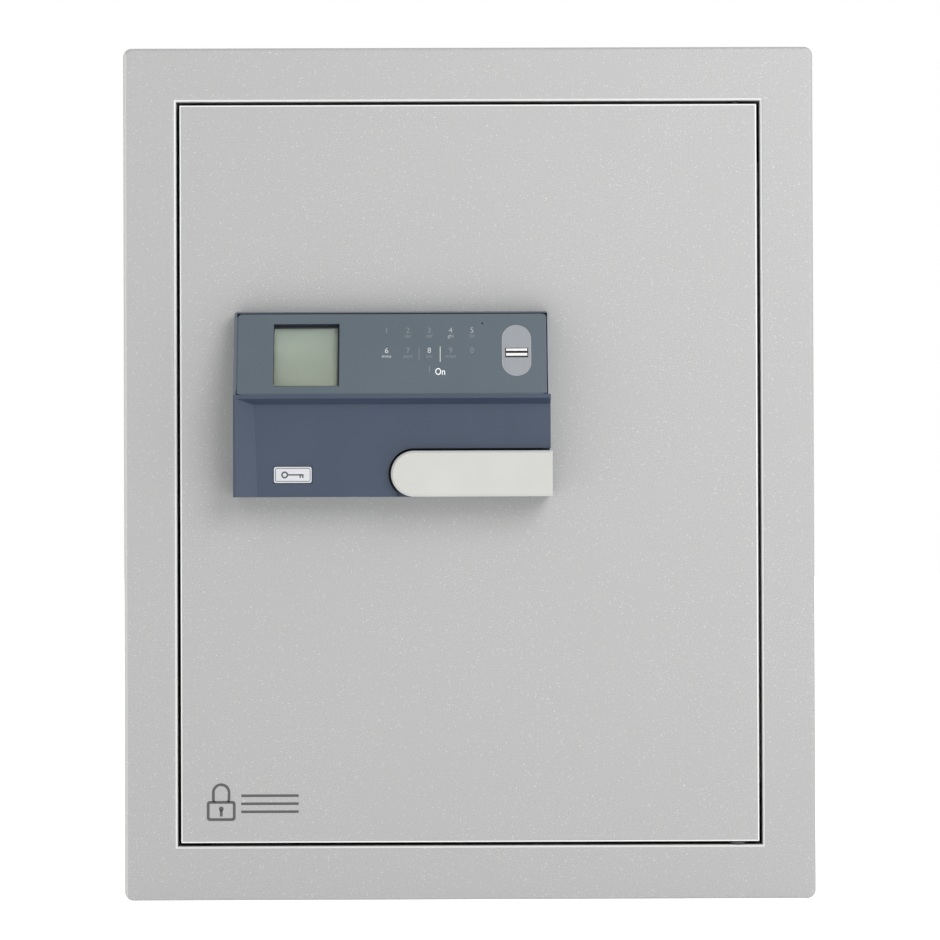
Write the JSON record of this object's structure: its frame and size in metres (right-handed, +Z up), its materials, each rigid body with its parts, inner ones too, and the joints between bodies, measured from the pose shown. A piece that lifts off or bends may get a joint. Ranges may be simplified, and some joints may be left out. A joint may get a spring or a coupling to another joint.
{
  "type": "wall safe",
  "caption": "Wall safe with a flanged frame, a flush hinged door, an inclined electronic fingerprint lock and a lever handle that throws side bolts.",
  "frame": {"origin": "centre of the four anchor holes on the outer face of the back wall", "axes": "+X to the right seen from the front, +Y into the wall, +Z up"},
  "size_m": [0.397, 0.2705, 0.49],
  "materials": {
    "frame_coat": "light silver-grey fine-textured powder coat",
    "door_coat": "light silver-grey fine-textured powder coat",
    "carcass_coat": "mid-grey powder coat",
    "galvanised_steel": "galvanised, satin",
    "bright_steel": "ground bright steel",
    "zinc_screws": "zinc-plated",
    "carriage_steel": "cold-rolled, lightly oiled",
    "brass": "turned",
    "black_rubber": "matte",
    "dark_felt": "needle felt",
    "slate_plastic": "dark slate-blue, fine grain",
    "panel_plastic": "slate-grey, satin",
    "white_plastic": "off-white, satin gloss",
    "clear_window": "clear",
    "display_grey": "grey-green reflective liquid crystal",
    "satin_plate": "satin",
    "sensor_black": "gloss black with chrome bars",
    "board_green": "solder resist",
    "black_plastic": "fine grain",
    "coil_yoke": "dark plated yoke",
    "badge_metal": "satin, blank",
    "cell_sleeve": "printed sleeve, plain"
  },
  "bodies": {
    "cabinet": {"front_frame": "frame_coat", "outer_shell": "carcass_coat", "inner_liner": "carcass_coat", "shelf": "carcass_coat", "wall_ties": "galvanised_steel", "anchor_sleeves": "galvanised_steel", "upper_hinge_block": "galvanised_steel", "lower_hinge_block": "galvanised_steel", "bolt_keeper": "galvanised_steel", "shelf_pins": "bright_steel", "wall_tie_screws": "zinc_screws", "upper_hinge_pin": "carriage_steel", "lower_hinge_pin": "carriage_steel", "door_stops": "carriage_steel", "stop_buffers": "black_rubber", "floor_mat": "dark_felt", "hinge_washer": "black_plastic"},
    "door": {"door_leaf": "door_coat", "door_pan": "carcass_coat", "door_inner_cover": "carcass_coat", "cover_screws": "zinc_screws", "hinge_side_claw": "carriage_steel", "bolt_bushes": "brass", "hard_plate": "carriage_steel", "spindle_bush": "brass", "guide_posts": "bright_steel", "solenoid_body": "coil_yoke", "solenoid_bracket": "galvanised_steel", "lock_housing": "slate_plastic", "control_panel": "panel_plastic", "display_window": "clear_window", "display_module": "display_grey", "fingerprint_plate": "satin_plate", "fingerprint_sensor": "sensor_black", "circuit_board": "board_green", "buzzer": "black_plastic", "housing_screws": "zinc_screws", "badge_plate": "badge_metal", "battery_box": "black_plastic", "batteries": "cell_sleeve", "battery_cover_rails": "black_plastic"},
    "handle": {"handle_lever": "white_plastic", "handle_spindle": "bright_steel", "drive_pinion": "bright_steel", "spindle_clip": "bright_steel"},
    "boltwork": {"bolt_carriage": "carriage_steel", "upper_bolt": "bright_steel", "middle_bolt": "bright_steel", "lower_bolt": "bright_steel", "bolt_screws": "zinc_screws"},
    "plunger": {"solenoid_plunger": "bright_steel", "plunger_spring": "bright_steel"},
    "battery_lid": {"battery_cover": "black_plastic"}
  },
  "joints": [
    {"name": "door_hinge", "type": "hinge", "parent": "cabinet", "child": "door", "pos_m": [0.154, -0.234, 0], "axis": [0, 0, 1], "range_deg": [0, 105]},
    {"name": "handle_turn", "type": "hinge", "parent": "door", "child": "handle", "pos_m": [-0.0314, -0.26, -0.0006], "axis": [0, 1, 0], "range_deg": [0, 60]},
    {"name": "bolt_throw", "type": "slide", "parent": "door", "child": "boltwork", "axis": [-1, 0, 0], "range_m": [0, 0.01675]},
    {"name": "plunger_drop", "type": "slide", "parent": "door", "child": "plunger", "axis": [0, 0, -1], "range_m": [0, 0.006], "deforming": ["plunger_spring"]},
    {"name": "battery_cover_slide", "type": "slide", "parent": "door", "child": "battery_lid", "axis": [0, 0, -1], "range_m": [0, 0.058]}
  ],
  "couplings": [
    {"joint": "handle_turn", "follows": "bolt_throw", "rad_per_m": 62.5}
  ]
}
